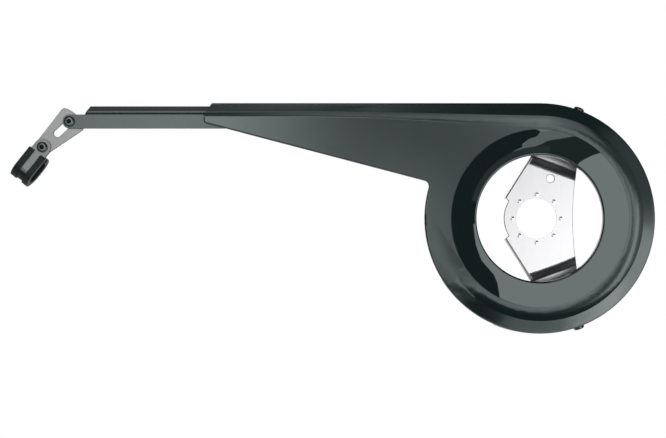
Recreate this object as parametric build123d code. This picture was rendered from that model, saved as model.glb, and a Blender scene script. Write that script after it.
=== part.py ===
from build123d import *
import os
from math import asin, atan2, cos, degrees, hypot, radians, sin, sqrt, tan

# Bicycle chain guard for the drive side. Lengths are millimetres, angles degrees.
# Frame: the origin is on the bottom bracket axis, in the inboard face of the
# bracket. +X points forward, +Y inboard to the bicycle's frame and +Z up.

# Guard shell, one moulding
face_stand = 21.8       # outboard face, out from the bracket's inboard face
wall = 2.2
rim_r = 102.0           # outer edge of the bevel round the disc
skirt_back = 2.0        # the skirt stops this far out from the bracket's inboard face
skirt_draft = 1.2       # the skirt widens by this much towards its back
edge_round = 1.4
bevel_width = 11.6
crest_r = rim_r - bevel_width       # sharp ridge round the disc
crest_rise = 2.7
bevel_drop = 1.8        # outer edge of the bevel, behind the face
hollow_width = 11.0
cove_r = crest_r - hollow_width     # hollow between the face and the ridge starts here
sheet_lap = 0.8         # how far neighbouring parts of the moulding run into each other

# Rearward wing of the shell
tip_x = -297.0
wing_slope = 14.7       # lower edge against the horizontal
wing_root_drop = 70.0
wing_root_z = rim_r - wing_root_drop    # height where the lower edge meets the disc
wing_bevel_width = 7.2
wing_crest_z = rim_r - wing_bevel_width     # ridge along the straight part of the wing
wing_crest_rise = 2.3
wing_cove = 2.8         # width of the hollow under that ridge
wing_straight_x = -205.0
tip_cut_in = 7.2        # slanted cut over the tip: length along the top edge
tip_cut_down = 11.0
root_round = 7.0
tip_round = 3.0
lip = 3.0               # stiffening lip behind the lower edge
lip_start_x = -262.0

# The ridge fades out on the disc's rear side, and the skirt is open there
fade_from = 240.0       # counted from +X towards +Z
fade_to = 212.0
fade_steps = 5
faint_rise = 0.08
skirt_end = 248.0

# Gloss ring, clipped into the shell
ring_fit = 0.1
ring_land = 0.5         # flat land between the ring's seat and the hollow
ledge_width = 3.4
ledge_r = cove_r - ledge_width
ring_width = 20.0
open_r = ledge_r - ring_width
ledge_depth = 1.2
ring_wall = 1.8
ring_dish = 0.2         # the ring falls inboard by this much towards the opening
lip_round = 2.6
lip_return = 6.0        # depth of the ring's inner lip
clip_count = 6
clip_arc = 10.0
clip_gap = 0.3
clip_bite = 1.4
clip_size = 2.0

# Extension arm, sliding in the wing
slide_gap = 0.3
arm_sheet = 2.5
arm_step = 2.0          # the rail's crest stands this far outboard of the flat strip
arm_top_gap = 2.6
arm_top = rim_r - arm_top_gap
arm_crest_high = wing_crest_z
arm_crest_width = 1.4
arm_crest_low = arm_crest_high - arm_crest_width
arm_cove_width = 1.3
arm_high = arm_crest_low - arm_cove_width   # upper edge of the flat strip
strip_height = 12.5
arm_low = arm_high - strip_height
arm_round = 0.8
arm_bevel_fall = 3.0    # the rail's upper face falls inboard by this much
rail_end_top_x = -397.8
rail_end_low_x = -402.6
rail_inner_x = -225.0
strip_inner_x = -180.0
guide_width = 12.0
guide_gap = 28.0        # free length between the two guides
guide_sheet = 2.2
guide_ledge = 2.8

# Link between arm and clamp
link_x = -416.2
link_hole_rise = 6.3    # link screw above the strip's lower edge
link_z = arm_low + link_hole_rise
clamp_back, clamp_drop = 24.4, 22.7
clamp_x, clamp_z = link_x - clamp_back, link_z - clamp_drop
link_sheet = 1.5
link_small_r = 7.3
link_wide = 13.4        # half the width at the wide end
link_reach = 4.0        # wide corners beyond the link screw
link_bow = 4.2          # how far the wide end bows out
link_corner = 3.0
slot_width = 6.4
slot_travel = 15.3
slot_spare = 1.0

# Chainstay clamp, a steel band in a rubber sleeve
stay_r = 8.0
liner = 1.8
band_sheet = 1.0
rubber_lip = 2.2
band_width = 15.2
rubber_width = 18.0
channel_width = 7.0     # groove between the rubber's lips
window_run = 4.0        # the band is bare in the groove up to this far past the loop's centre
groove_floor = 0.9      # rubber over the band in the rest of the groove
loop_turn = 8.4         # loop against the line through both screws
loop_start = 19.5       # from the clamp screw to the first centre of the loop
loop_straight = 4.8
tab_bend = 2.0
rubber_start = 6.2
rubber_stop = 2.5       # the sleeve ends this far short of the tab, past the loop's centre

# Bottom bracket bracket, folded steel sheet
shell_hole_r = 18.25
plate_sheet = 2.0
plate_arc_r = 29.2
plate_waist = 32.6
plate_flank_x, plate_flank_z = 34.7, 33.8
plate_corner_x, plate_corner_z = 37.0, 43.5
edge_low_x, edge_low_z = -28.2, 18.7
edge_high_x, edge_high_z = -5.1, 55.6
notch_z = 15.5
arm_lean = 20.0         # arms against the vertical
joggle_from = 44.6
joggle_to = 51.0
joggle = 4.5
joggle_bend_r = 6.0
bend_r = 2.5
flange_width = 24.0
flange_tip = 18.0       # the flange reaches this far out from the seat
pad_depth = 3.0
pad_r = rim_r - pad_depth           # flat pad inside the skirt that the flange lies on
taper_run = 19.0
taper_end = pad_r - taper_run
pad_thick = 1.8
pip_count = 8
pip_circle_r = 21.65
pip_r = 2.0
pip_height = 0.6
spare_hole_x, spare_hole_z, spare_hole_r = 12.5, 35.8, 3.55

# M5 fasteners
screw_r = 2.5
screw_clear = 0.1
head_r = 4.75
head_height = 2.75
head_edge = 0.15        # share of the head's height that its rim stands upright
head_bulge_r, head_bulge = 4.1, 0.68
head_flat_r = 3.2
hex_flat = 3.0
hex_depth = 1.6
washer_r = 5.0
washer_thick = 1.0
nut_flat = 8.0
nut_thick = 4.0
thread_end = 0.8
rim_screw_in = 12.5     # rim screws stand this far out from the bracket's seat

# Worked-out sizes
far = 60.0
skirt_depth = face_stand - skirt_back
arm_crest = face_stand - wall - slide_gap
arm_face = arm_crest - arm_step
arm_back = arm_face - arm_sheet
link_back = arm_back - link_sheet
tab_face = arm_back + band_sheet
link_length = hypot(link_x - clamp_x, link_z - clamp_z)
link_angle = degrees(atan2(link_z - clamp_z, link_x - clamp_x))


def out(height):
    """Y of a point that lies this far outboard of the shell's face."""
    return -(face_stand + height)


def wing_low(x):
    """Height of the wing's lower edge."""
    root_x = -sqrt(rim_r ** 2 - wing_root_z ** 2)
    return wing_root_z - (x - root_x) * tan(radians(wing_slope))


def upright(x):
    """Plane across the wing, with its first axis up and its second inboard."""
    return Plane(origin=(x, 0, 0), x_dir=(0, 0, 1), z_dir=(-1, 0, 0))


def radial(angle):
    """Plane through the axis, with its first axis outward and its second inboard."""
    a = radians(angle)
    return Plane(origin=(0, 0, 0), x_dir=(cos(a), 0, sin(a)), z_dir=(-sin(a), 0, cos(a)))


def front(stand):
    """Plane parallel to the face, this far out from the bracket's seat, facing outboard."""
    return Plane(origin=(0, -stand, 0), x_dir=(1, 0, 0), z_dir=(0, -1, 0))


def prism(sketch, stand_from, stand_to):
    """Solid between two distances out from the bracket's seat."""
    return extrude(front(stand_from) * sketch, amount=stand_to - stand_from)


def area(*corners):
    """Flat face with straight sides."""
    return make_face(Polyline(*corners, close=True))


def round_bar(origin, direction, radius, length):
    """Solid cylinder from a point along a direction."""
    return extrude(Plane(origin=origin, z_dir=direction) * Circle(radius), amount=length)


def rim_section(cove, crest, rise, drop):
    """Wall section of the rim: hollow, ridge, bevel and skirt, as distance and Y."""
    run = crest - cove
    hollow_r = (run ** 2 + rise ** 2) / (2 * rise)
    half = asin(run / hollow_r) / 2
    mid = (cove + hollow_r * sin(half), hollow_r * (1 - cos(half)))
    bevel_end = rim_r - edge_round
    slope = (rise + drop) / (bevel_end - crest)
    corner = (rim_r - wall, rise - wall - slope * (rim_r - wall - crest))
    turn = edge_round * (1 - sqrt(0.5))

    def at(distance, height):
        return (distance, out(height))

    outline = [
        Line(at(cove - sheet_lap, 0), at(cove, 0)),
        ThreePointArc(at(cove, 0), at(*mid), at(crest, rise)),
        Line(at(crest, rise), at(bevel_end, -drop)),
        ThreePointArc(at(bevel_end, -drop), at(rim_r - turn, -drop - turn),
                      at(rim_r, -drop - edge_round)),
        Line(at(rim_r, -drop - edge_round), at(rim_r + skirt_draft, -skirt_depth)),
        Line(at(rim_r + skirt_draft, -skirt_depth), at(rim_r + skirt_draft - wall, -skirt_depth)),
        Line(at(rim_r + skirt_draft - wall, -skirt_depth), at(*corner)),
        Line(at(*corner), at(crest, rise - wall)),
        ThreePointArc(at(crest, rise - wall), at(mid[0], mid[1] - wall), at(cove, -wall)),
        Line(at(cove, -wall), at(cove - sheet_lap, -wall)),
        Line(at(cove - sheet_lap, -wall), at(cove - sheet_lap, 0)),
    ]
    return make_face(outline)


def shell_rim():
    """Ridge, bevel and skirt round the disc and along the top of the wing."""
    full = rim_section(cove_r, crest_r, crest_rise, bevel_drop)
    wing = rim_section(wing_crest_z - wing_cove, wing_crest_z, wing_crest_rise, bevel_drop)
    disc = revolve(upright(0) * full, axis=Axis.Y, revolution_arc=90 + 360 - fade_from)
    fading = []
    for step in range(fade_steps):
        share = step / (fade_steps - 1)
        ease = share * share * (3 - 2 * share)
        rise = crest_rise + (faint_rise - crest_rise) * ease
        drop = bevel_drop + (faint_rise - bevel_drop) * ease
        angle = fade_from + (fade_to - fade_from) * share
        fading.append(radial(angle) * rim_section(cove_r, crest_r, rise, drop))
    slope = loft([upright(0) * full, upright(wing_straight_x) * wing])
    straight = extrude(upright(wing_straight_x) * wing, amount=wing_straight_x - tip_x)
    return disc + loft(fading) + slope + straight


def plate_outline():
    """Flat face of the wing and of the disc's plain rear side."""
    cove_z = wing_crest_z - wing_cove + sheet_lap
    inner_x = -0.8 * rim_r
    wing = area((tip_x, cove_z), (wing_straight_x, cove_z), (0, cove_r + sheet_lap), (0, 0),
                (inner_x, wing_low(inner_x)), (tip_x, wing_low(tip_x)))
    low = radians(fade_to)
    reach = 2 * rim_r
    rear = Circle(rim_r) & area((0, 0), (reach * cos(low), reach * sin(low)), (-reach, 0),
                                (-reach, rim_r / 2), (inner_x, rim_r / 2))
    outline = wing + rear + Circle(cove_r)
    root = [v for v in outline.vertices() if abs(v.Y - wing_root_z) < 1 and v.X < inner_x]
    tip = [v for v in outline.vertices() if abs(v.X - tip_x) < 1 and v.Y < arm_high]
    outline = fillet(root, root_round)
    return fillet(tip, tip_round) if tip else outline


def shell_face():
    """Face plate with its rounded lower edge and the lip behind it."""
    outline = plate_outline()
    plate = prism(outline, face_stand - wall, face_stand)
    edges = plate.faces().sort_by(Axis.Y)[0].outer_wire().edges()
    soft = [e for e in edges if is_free_edge(e.center())]
    plate = fillet(soft, edge_round)
    border = outline - offset(outline, amount=-wall, kind=Kind.INTERSECTION)
    low = radians(fade_to)
    reach = 2 * rim_r
    region = area((lip_start_x, 0), (lip_start_x, wing_low(lip_start_x) + wall + 1),
                  (-rim_r, wing_low(-rim_r) + wall + 1), (-cove_r, 0),
                  (cove_r * cos(low), cove_r * sin(low)),
                  (reach * cos(low), reach * sin(low)))
    return plate + prism(border & region, face_stand - wall - lip, face_stand - wall)


def is_free_edge(point):
    """True for the outline's edges that no rim follows."""
    distance = hypot(point.X, point.Z)
    low_side = point.X < -0.8 * rim_r and point.Z < wing_low(point.X) + root_round
    rear_side = abs(distance - rim_r) < 1 or distance > rim_r
    return low_side and rear_side


def arm_guide(x):
    """Hook inside the wing that carries the arm from below and behind."""
    low = arm_low - slide_gap
    ledge = prism(area((x, low - guide_ledge), (x + guide_width, low - guide_ledge),
                       (x + guide_width, low), (x, low)),
                  arm_back - slide_gap - guide_sheet, face_stand - wall / 2)
    high = rim_r - wall / 2
    strap = prism(area((x, low - guide_ledge), (x + guide_width, low - guide_ledge),
                       (x + guide_width, high), (x, high)),
                  arm_back - slide_gap - guide_sheet, arm_back - slide_gap)
    return ledge + strap


def lean_plane(side):
    """Plane that faces outward along a bracket arm, top (1) or bottom (-1)."""
    a = radians(arm_lean)
    return Plane(origin=(0, 0, 0), x_dir=(cos(a), 0, -side * sin(a)),
                 z_dir=(sin(a), 0, side * cos(a)))


def flange_pad(side):
    """Flat pad inside the skirt, where a bracket flange is screwed on."""
    pad = lean_plane(side).offset(pad_r) * Rectangle(flange_width + 2, skirt_depth - 4 * wall)
    lift = -(face_stand + skirt_back) / 2
    return Pos(0, lift, 0) * extrude(pad, amount=pad_thick)


def rim_screw_line(side):
    """Point on the rim screw's axis at the bottom bracket, and its direction."""
    plane = lean_plane(side)
    return Vector(0, -rim_screw_in, 0), plane.z_dir


def screw_seat_r():
    """Distance of the rim screws' head seat from the bottom bracket axis."""
    along = (face_stand - bevel_drop - edge_round - rim_screw_in) / (
        skirt_depth - bevel_drop - edge_round)
    return rim_r + skirt_draft * along - slide_gap


def guard_shell():
    shell = shell_face() + shell_rim()
    first_guide = lip_start_x
    second_guide = lip_start_x + guide_width + guide_gap
    shell += arm_guide(first_guide) + arm_guide(second_guide)
    for side in (1, -1):
        shell += flange_pad(side)

    # The skirt is open on the lower rear side, where the chain runs out
    end = radians(skirt_end)
    reach = 1.15 * rim_r
    open_side = area((tip_x - wall, wing_crest_z), (-0.6 * rim_r, wing_crest_z), (-0.6 * rim_r, 0),
                     (0.5 * rim_r * cos(end), 0.5 * rim_r * sin(end)),
                     (reach * cos(end), reach * sin(end)), (-reach, -reach), (tip_x - wall, 0))
    guard_room = area((lip_start_x - wall, 0), (lip_start_x - wall, wing_crest_z + 2 * wall),
                      (second_guide + guide_width + wall, wing_crest_z + 2 * wall),
                      (second_guide + guide_width + wall, 0))
    shell -= prism(open_side - guard_room, 0, face_stand - wall - lip)

    # Slanted cut over the tip
    top = rim_r + wall
    cut = area((tip_x + tip_cut_in + wall, top), (tip_x + tip_cut_in, rim_r),
               (tip_x, rim_r - tip_cut_down), (tip_x - wall, rim_r - tip_cut_down),
               (tip_x - wall, top))
    shell -= prism(cut, 0, face_stand + far)

    # Opening with the ledge that carries the gloss ring
    shell -= prism(Circle(ledge_r), 0, face_stand + far)
    shell -= prism(Circle(cove_r - ring_land), face_stand - ledge_depth, face_stand + far)

    for side in (1, -1):
        point, direction = rim_screw_line(side)
        shell -= round_bar(point + direction * taper_end, direction, screw_r + screw_clear, far)
        shell -= round_bar(point + direction * screw_seat_r(), direction, head_r + slide_gap, far)
    return shell


def inner_ring():
    """Gloss ring: dished face, rounded lip round the opening and clips behind."""
    edge = cove_r - ring_land - ring_fit
    hub = open_r + lip_round
    turn = lip_round * (1 - sqrt(0.5))

    def at(distance, height):
        return (distance, out(height))

    section = make_face([
        Line(at(edge, 0), at(hub, -ring_dish)),
        ThreePointArc(at(hub, -ring_dish), at(open_r + turn, -ring_dish - turn),
                      at(open_r, -ring_dish - lip_round)),
        Line(at(open_r, -ring_dish - lip_round), at(open_r, -lip_return)),
        Line(at(open_r, -lip_return), at(open_r + ring_wall, -lip_return)),
        Line(at(open_r + ring_wall, -lip_return),
             at(open_r + ring_wall, -ring_dish - lip_round)),
        Line(at(open_r + ring_wall, -ring_dish - lip_round), at(hub, -ring_dish - ring_wall)),
        Line(at(hub, -ring_dish - ring_wall), at(ledge_r - ring_fit, -ledge_depth - ring_dish)),
        Line(at(ledge_r - ring_fit, -ledge_depth - ring_dish),
             at(ledge_r - ring_fit, -ledge_depth)),
        Line(at(ledge_r - ring_fit, -ledge_depth), at(edge, -ledge_depth)),
        Line(at(edge, -ledge_depth), at(edge, 0)),
    ])
    ring = revolve(upright(0) * section, axis=Axis.Y, revolution_arc=360)
    root = ledge_r - ring_fit
    behind = -wall - clip_gap
    hook = make_face([
        Polyline(at(root - clip_size, -ledge_depth), at(root, -ledge_depth), at(root, behind),
                 at(root + clip_bite, behind), at(root, behind - clip_size),
                 at(root - clip_size, behind - clip_size), at(root - clip_size, -ledge_depth))])
    for number in range(clip_count):
        start = 360 / clip_count * (number + 0.5) - clip_arc / 2
        ring += Rot(0, start, 0) * revolve(upright(0) * hook, axis=Axis.Y,
                                           revolution_arc=clip_arc)
    return ring


def extension_arm():
    """Moulded bar: a flat strip with a ridged rail on top, round at the link screw."""
    hollow = arm_crest - wall
    section = area((arm_low, -arm_face), (arm_high, -arm_face), (arm_crest_low, -arm_crest),
                   (arm_crest_high, -arm_crest), (arm_top, arm_bevel_fall - arm_crest),
                   (arm_top, -arm_back), (arm_top - wall, -arm_back), (arm_crest_high, -hollow),
                   (arm_crest_low, -hollow), (arm_crest_low, -arm_back), (arm_low, -arm_back))
    ridge = [v for v in section.vertices() if abs(v.Y + arm_crest) < 0.01]
    section = fillet(ridge, arm_round)
    bar = extrude(upright(strip_inner_x) * section, amount=strip_inner_x - link_x)

    # The rail is cut off on a slant over the strip, and squarely inside the wing
    above = arm_top + wall
    outer = area((rail_end_low_x, arm_high), (rail_end_top_x, arm_top),
                 (rail_end_top_x, above), (link_x - wall, above), (link_x - wall, arm_high))
    within = area((rail_inner_x, arm_high), (strip_inner_x + wall, arm_high),
                  (strip_inner_x + wall, above), (rail_inner_x, above))
    bar -= prism(outer, 0, face_stand)
    bar -= prism(within, 0, face_stand)

    end_r = (arm_high - arm_low) / 2
    eye = Pos(link_x, arm_low + end_r) * Circle(end_r)
    bar += prism(eye, arm_back, arm_face)
    hole = Pos(link_x, link_z) * Circle(screw_r + screw_clear)
    return bar - prism(hole, 0, face_stand)


def link_frame():
    """Plane through the clamp screw, its first axis towards the link screw."""
    a = radians(link_angle)
    return Plane(origin=(clamp_x, 0, clamp_z), x_dir=(cos(a), 0, sin(a)), z_dir=(0, -1, 0))


def link_plate():
    """Tapered steel link with a slot for the link screw."""
    wide = link_length + link_reach
    lean = asin((link_wide - link_small_r) / wide)
    touch = (-link_small_r * sin(lean), link_small_r * cos(lean))
    outline = make_face([
        Line((touch[0], touch[1]), (wide, link_wide)),
        ThreePointArc((wide, link_wide), (wide + link_bow, 0), (wide, -link_wide)),
        Line((wide, -link_wide), (touch[0], -touch[1])),
        ThreePointArc((touch[0], -touch[1]), (-link_small_r, 0), touch),
    ])
    corners = [v for v in outline.vertices() if v.X > link_length]
    outline = fillet(corners, link_corner)
    slot_run = slot_travel + slot_spare
    slot_mid = link_length - slot_travel + slot_run / 2
    slot = Pos(slot_mid, 0) * SlotCenterToCenter(slot_run, slot_width)
    hole = Circle(screw_r + screw_clear)
    plane = link_frame().offset(link_back)
    return extrude(plane * (outline - slot - hole), amount=link_sheet)


def loop_plane():
    """Plane across the clamp's loop: first axis from the screw to the loop, second inboard."""
    a = radians(link_angle + loop_turn)
    along = (-cos(a), 0, -sin(a))
    across = (sin(a), 0, -cos(a))
    return Plane(origin=(clamp_x, 0, clamp_z), x_dir=along, z_dir=across)


def loop_section(inner, outer, start, stop):
    """Strip round the loop between two radii, from the front side to the back near the tab."""
    mid_y = -tab_face + stay_r + liner + band_sheet
    first, last = loop_start, loop_start + loop_straight

    def strip_outline(radius):
        return [
            Line((start, mid_y - radius), (last, mid_y - radius)),
            ThreePointArc((last, mid_y - radius), (last + radius, mid_y), (last, mid_y + radius)),
            Line((last, mid_y + radius), (first, mid_y + radius)),
            ThreePointArc((first, mid_y + radius),
                          (first - radius * sqrt(0.5), mid_y + radius * sqrt(0.5)),
                          (first - radius, mid_y)),
            Line((first - radius, mid_y), (first - radius, mid_y - stop)),
        ]

    near, away = strip_outline(inner), strip_outline(outer)
    ends = [Line((start, mid_y - inner), (start, mid_y - outer)),
            Line((first - inner, mid_y - stop), (first - outer, mid_y - stop))]
    return make_face(near + away + ends)


def clamp_band():
    """Steel band with two tabs, the link between them, and the loop round the stay."""
    inner, outer = stay_r + liner, stay_r + liner + band_sheet
    mid_y = -tab_face + outer
    tab_back_y = -link_back
    bend_y = tab_back_y + band_sheet + tab_bend
    loop = loop_section(inner, outer, 0, mid_y - bend_y)
    wall_x = loop_start - outer
    bend_mid = (wall_x + band_sheet - (tab_bend + band_sheet) * (1 - sqrt(0.5)),
                tab_back_y + (tab_bend + band_sheet) * (1 - sqrt(0.5)))
    far_mid = (wall_x - tab_bend * (1 - sqrt(0.5)),
               tab_back_y + band_sheet + tab_bend * (1 - sqrt(0.5)))
    turn = make_face([
        Line((wall_x, bend_y), (wall_x + band_sheet, bend_y)),
        ThreePointArc((wall_x + band_sheet, bend_y), bend_mid, (wall_x - tab_bend, tab_back_y)),
        Line((wall_x - tab_bend, tab_back_y), (0, tab_back_y)),
        Line((0, tab_back_y), (0, tab_back_y + band_sheet)),
        Line((0, tab_back_y + band_sheet), (wall_x - tab_bend, tab_back_y + band_sheet)),
        ThreePointArc((wall_x - tab_bend, tab_back_y + band_sheet), far_mid, (wall_x, bend_y)),
    ])
    plane = loop_plane()
    band = extrude(plane * (loop + turn), amount=band_width / 2, both=True)
    ends = Pos(clamp_x, clamp_z) * Circle(band_width / 2)
    band += prism(ends, tab_face - band_sheet, tab_face)
    band += prism(ends, link_back - band_sheet, link_back)
    hole = Pos(clamp_x, clamp_z) * Circle(screw_r + screw_clear)
    return band - prism(hole, 0, face_stand)


def clamp_rubber(band):
    """Rubber sleeve: liner in the loop, and lips folded over both edges of the band."""
    steel_out = stay_r + liner + band_sheet
    plane = loop_plane()
    body = extrude(plane * loop_section(stay_r, steel_out + rubber_lip, rubber_start, rubber_stop),
                   amount=rubber_width / 2, both=True)
    outer = steel_out + rubber_lip + wall
    deep = extrude(plane * loop_section(steel_out, outer, rubber_start - wall, rubber_stop + wall),
                   amount=channel_width / 2, both=True)
    groove = extrude(plane * loop_section(steel_out + groove_floor, outer, rubber_start - wall,
                                          rubber_stop + wall),
                     amount=channel_width / 2, both=True)
    window_end = loop_start + loop_straight + window_run
    window = extrude(plane * area((0, -far), (window_end, -far), (window_end, far), (0, far)),
                     amount=channel_width, both=True)
    channel = (deep & window) + groove
    room = Pos(clamp_x, clamp_z) * Circle(link_small_r + 3 * slide_gap)
    return body - channel - band - prism(room, 0, tab_face - band_sheet)


def plate_half(side):
    """One arm of the bracket with half of its middle, folded from sheet."""
    a = radians(arm_lean)

    def arm_point(along, across):
        return (along * sin(a) + across * cos(a), along * cos(a) - across * sin(a))

    # Plan of the upper half, seen from outboard
    half = flange_width / 2
    plan = make_face([
        ThreePointArc((plate_waist, 0), (plate_waist + 0.5, plate_flank_z / 2),
                      (plate_flank_x, plate_flank_z)),
        Polyline((plate_flank_x, plate_flank_z), (plate_corner_x, plate_corner_z),
                 arm_point(taper_end, half), arm_point(pad_r, half), arm_point(pad_r, -half),
                 arm_point(taper_end, -half), (edge_high_x, edge_high_z),
                 (edge_low_x, edge_low_z),
                 (-sqrt(plate_arc_r ** 2 - notch_z ** 2), notch_z)),
        ThreePointArc((-sqrt(plate_arc_r ** 2 - notch_z ** 2), notch_z),
                      (-sqrt(plate_arc_r ** 2 - notch_z ** 2 / 4), notch_z / 2),
                      (-plate_arc_r, 0)),
        Line((-plate_arc_r, 0), (plate_waist, 0)),
    ])
    blank = prism(plan, -far, face_stand)

    # Side view along the arm: flat, joggle, flat, then the flange out to the skirt
    path = Wire(Polyline((-far, 0), (joggle_from, 0), (joggle_to, joggle), (pad_r, joggle),
                         (pad_r, -flange_tip)).edges())
    joggle_ends = [v for v in path.vertices() if v.X in (joggle_from, joggle_to)]
    path = path.fillet_2d(joggle_bend_r, joggle_ends)
    corner = [v for v in path.vertices() if v.X == pad_r and v.Y == joggle]
    path = path.fillet_2d(bend_r, corner)
    section = make_face(offset(path, amount=plate_sheet, side=Side.RIGHT))
    view = Plane(origin=(0, 0, 0), x_dir=(sin(a), 0, cos(a)), z_dir=(-cos(a), 0, sin(a)))
    folded = extrude(view * section, amount=far, both=True) & blank

    # Stiffening lip along the slanted rear edge
    run = Vector(edge_high_x - edge_low_x, edge_high_z - edge_low_z).normalized()
    aside = Vector(run.Y, -run.X) * plate_sheet
    low, high = Vector(edge_low_x, edge_low_z), Vector(edge_high_x, edge_high_z)
    strip = area(low, high, high + aside, low + aside)
    folded += prism(strip, -joggle, plate_sheet)
    return folded if side > 0 else mirror(folded, about=Plane.XY)


def bb_bracket():
    """Steel bracket that is clamped under the bottom bracket cup."""
    plate = plate_half(1) + plate_half(-1)
    plate -= prism(Circle(shell_hole_r), -far, far)
    plate -= prism(Pos(spare_hole_x, spare_hole_z) * Circle(spare_hole_r), -far, far)
    cap_r = (pip_r ** 2 + pip_height ** 2) / (2 * pip_height)
    for number in range(pip_count):
        a = radians(360 / pip_count * number)
        spot = (pip_circle_r * cos(a), 0, pip_circle_r * sin(a))
        bump = Pos(spot[0], -plate_sheet - pip_height + cap_r, spot[2]) * Sphere(cap_r)
        keep = round_bar(Vector(*spot) - Vector(0, plate_sheet / 2, 0), (0, -1, 0), pip_r, far)
        hollow = Pos(spot[0], -pip_height + cap_r, spot[2]) * Sphere(cap_r)
        plate = plate + (bump & keep) - (hollow & Pos(0, plate_sheet / 2, 0) * keep)
    for side in (1, -1):
        point, direction = rim_screw_line(side)
        plate -= round_bar(point + direction * taper_end, direction, screw_r + screw_clear, far)
    return plate


def button_screw(length):
    """Button head screw along +Z, its head's seat at the origin and its shank below."""
    crown = area((0, -length), (screw_r, -length), (screw_r, 0), (head_r, 0),
                 (head_r, head_edge * head_height), (head_bulge_r, head_bulge * head_height), (head_flat_r, head_height),
                 (0, head_height))
    screw = revolve(Plane.XZ * crown, axis=Axis.Z, revolution_arc=360)
    socket = Pos(0, 0, head_height - hex_depth) * extrude(
        RegularPolygon(hex_flat / 2, 6, major_radius=False), amount=hex_depth)
    return screw - socket


def hex_nut():
    """Nut from the origin along +Z."""
    outline = RegularPolygon(nut_flat / 2, 6, major_radius=False) - Circle(screw_r)
    return extrude(outline, amount=nut_thick)


def plain_washer():
    """Washer from the origin along +Z."""
    return extrude(Circle(washer_r) - Circle(screw_r + screw_clear), amount=washer_thick)


def placed(piece, origin, direction):
    """Puts a fastener's own +Z along a direction."""
    return Plane(origin=origin, z_dir=direction).location * piece


def rim_fasteners(side):
    """Screw through skirt, pad and flange, and the nut on the flange."""
    point, direction = rim_screw_line(side)
    seat = screw_seat_r()
    nut_seat = pad_r - plate_sheet
    length = seat - nut_seat + nut_thick + thread_end
    screw = placed(button_screw(length), point + direction * seat, direction)
    nut = placed(hex_nut(), point + direction * nut_seat, direction * -1)
    return screw, nut


def pivot_fasteners(x, z, head_stand, back_stand):
    """Screw from outboard, and washer and nut behind the clamped sheets."""
    length = head_stand - back_stand + washer_thick + nut_thick + thread_end
    screw = placed(button_screw(length), (x, -head_stand, z), (0, -1, 0))
    washer = placed(plain_washer(), (x, -back_stand, z), (0, 1, 0))
    nut = placed(hex_nut(), (x, -back_stand + washer_thick, z), (0, 1, 0))
    return screw, washer, nut


def main():
    band = clamp_band()
    pieces = {
        "guard_shell": guard_shell(),
        "inner_ring": inner_ring(),
        "extension_arm": extension_arm(),
        "link_plate": link_plate(),
        "clamp_band": band,
        "clamp_rubber": clamp_rubber(band),
        "bb_bracket": bb_bracket(),
    }
    for side, name in ((1, "top"), (-1, "bottom")):
        screw, nut = rim_fasteners(side)
        pieces["rim_screw_" + name] = screw
        pieces["rim_nut_" + name] = nut
    for name, x, z, head_stand, back_stand in (
            ("link", link_x, link_z, arm_face, link_back),
            ("clamp", clamp_x, clamp_z, tab_face, link_back - band_sheet)):
        screw, washer, nut = pivot_fasteners(x, z, head_stand, back_stand)
        pieces[name + "_screw"] = screw
        pieces[name + "_washer"] = washer
        pieces[name + "_nut"] = nut
    os.makedirs("parts", exist_ok=True)
    for name, piece in pieces.items():
        export_step(piece, "parts/" + name + ".step")


main()
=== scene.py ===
import bpy
from math import atan2, cos, pi, radians, sin, sqrt
from mathutils import Matrix, Vector


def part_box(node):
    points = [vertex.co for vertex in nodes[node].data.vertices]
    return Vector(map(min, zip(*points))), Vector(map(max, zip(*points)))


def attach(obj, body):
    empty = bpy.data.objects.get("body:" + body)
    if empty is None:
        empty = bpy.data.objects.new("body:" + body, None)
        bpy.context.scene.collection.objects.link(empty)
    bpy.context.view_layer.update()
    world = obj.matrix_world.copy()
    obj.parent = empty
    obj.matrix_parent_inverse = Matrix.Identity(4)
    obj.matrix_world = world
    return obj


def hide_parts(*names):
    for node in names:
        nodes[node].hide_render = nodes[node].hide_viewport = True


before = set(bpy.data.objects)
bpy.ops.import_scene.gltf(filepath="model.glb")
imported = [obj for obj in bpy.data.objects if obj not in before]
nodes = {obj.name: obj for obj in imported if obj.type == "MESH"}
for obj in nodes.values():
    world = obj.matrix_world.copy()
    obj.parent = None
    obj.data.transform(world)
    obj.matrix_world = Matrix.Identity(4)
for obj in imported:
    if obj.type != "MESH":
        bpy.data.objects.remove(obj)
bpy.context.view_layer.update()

# The photograph's frame and the camera's place in front of the disc's face, in metres
PHOTO_WIDE = 666
PHOTO_HIGH = 438
METRE_PER_PIXEL = 0.000882
STAND_BACK = 1.08
CAMERA_X = -0.1828
CAMERA_Z = -0.0005
FACE_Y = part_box("inner_ring")[0].y
EYE = Vector((CAMERA_X, FACE_Y - STAND_BACK, CAMERA_Z))
SENSOR_WIDE = 36.0      # millimetres
CLIP_NEAR = 0.05
CLIP_FAR = 20.0
OUTBOARD = Vector((0, -1, 0))
INBOARD = Vector((0, 1, 0))

# Steps of round forms and roundings, angles in degrees, and limits for picking faces
ROUND = 64
ROOT_STEPS = 128
HOLLOW_STEPS = 256
SOFT_STEPS = 8
SOFT_ANGLE = 35         # edges sharper than this are softened, and stay sharp in the shading
SCREW_ANGLE = 32
RING_ANGLE = 30
NUT_ANGLE = 25
MERGE = 0.000002        # vertices of a CAD mesh closer than this are one, in metres
FLAT_ANGLE = 0.4        # between triangles of one flat face
FACING = 0.9            # a face looks a way when its normal has more than this along it
SQUARE = 0.99           # and lies square to it above this

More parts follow.
